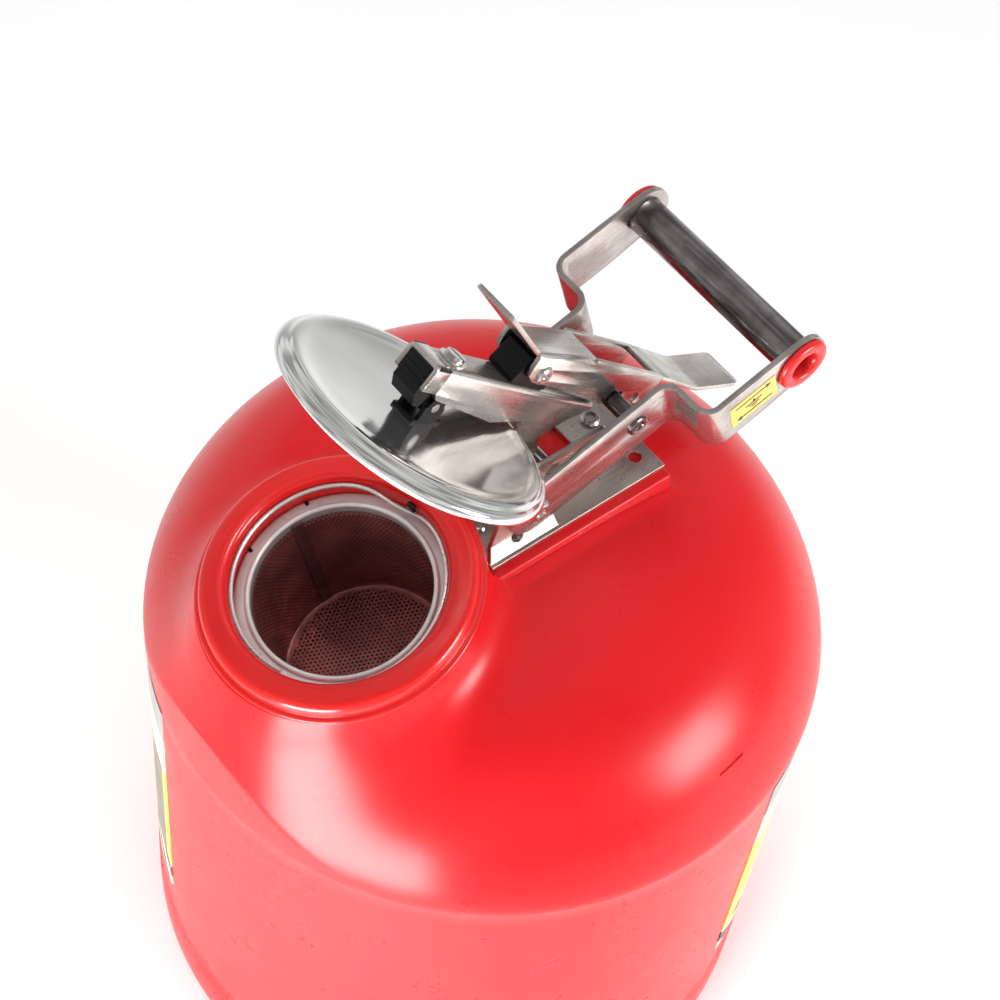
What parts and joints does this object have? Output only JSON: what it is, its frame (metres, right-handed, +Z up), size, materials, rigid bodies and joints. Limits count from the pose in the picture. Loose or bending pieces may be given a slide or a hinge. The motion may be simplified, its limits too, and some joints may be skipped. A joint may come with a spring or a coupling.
{
  "type": "safety gas can",
  "caption": "Round plastic safety can with a tilted wide mouth, perforated flame arrester, steel lever lid held open by a latch, and a swinging carrying handle.",
  "frame": {"origin": "centre of the round underside, on the plane the can stands on", "axes": "+Z up; -Y towards the mouth (front); +Y towards the handle's grip at rest; +X to the side that carries the bonding label"},
  "size_m": [0.3047, 0.3048, 0.4594],
  "materials": {
    "red_plastic": "semi-gloss moulded polyethylene",
    "collar_plastic": "semi-gloss moulded polyethylene",
    "label_print": "printed film",
    "bracket_steel": "mill-finish stainless steel",
    "zinc_hardware": "turned steel",
    "brass_insert": "turned brass",
    "spring_wire": "drawn wire",
    "arrester_mesh": "perforated sheet",
    "satin_steel": "satin stainless steel",
    "black_plastic": "moulded plastic",
    "polished_steel": "polished stainless steel",
    "gasket_rubber": "smooth white gasket",
    "tube_steel": "polished tube with drawing lines",
    "red_plug": "moulded plastic",
    "yellow_label": "printed film"
  },
  "bodies": {
    "can": {"tank": "red_plastic", "neck_collar": "collar_plastic", "side_labels": "label_print", "mounting_bracket": "bracket_steel", "bracket_screws": "zinc_hardware", "plinth_inserts": "brass_insert", "hinge_pin": "zinc_hardware", "pin_spacers": "zinc_hardware", "stop_pin": "zinc_hardware", "return_spring": "spring_wire", "arrester_basket": "arrester_mesh", "arrester_flange": "satin_steel", "retaining_ring": "spring_wire"},
    "lid_lever": {"lid_lever": "satin_steel", "lid_block": "black_plastic", "block_bolt": "zinc_hardware", "latch_block": "black_plastic"},
    "lid": {"lid_cap": "polished_steel", "lid_gasket": "gasket_rubber", "lid_clevis": "satin_steel", "lid_pin": "zinc_hardware"},
    "handle": {"handle_arm_left": "bracket_steel", "handle_arm_right": "bracket_steel", "grip_tube": "tube_steel", "grip_plugs": "red_plug", "crossbar": "zinc_hardware", "bond_label": "yellow_label"},
    "latch": {"latch_lever": "satin_steel", "latch_rivet": "zinc_hardware"}
  },
  "joints": [
    {"name": "handle_swing", "type": "hinge", "parent": "can", "child": "handle", "pos_m": [0, -0.005, 0.347], "axis": [1, 0, 0], "range_deg": [0, 59.1]},
    {"name": "lid_swing", "type": "hinge", "parent": "can", "child": "lid_lever", "pos_m": [0, -0.005, 0.347], "axis": [1, 0, 0], "range_deg": [0, 59.1]},
    {"name": "lid_align", "type": "hinge", "parent": "lid_lever", "child": "lid", "pos_m": [0, -0.04712, 0.42266], "axis": [1, 0, 0], "range_deg": [-6.8, 0]},
    {"name": "latch_release", "type": "hinge", "parent": "lid_lever", "child": "latch", "pos_m": [0, 0.003, 0.4122], "axis": [1, 0, 0], "range_deg": [0, 10]}
  ],
  "couplings": [
    {"joint": "lid_swing", "follows": "handle_swing", "ratio": 1},
    {"joint": "lid_align", "follows": "handle_swing", "ratio": -0.11506}
  ]
}
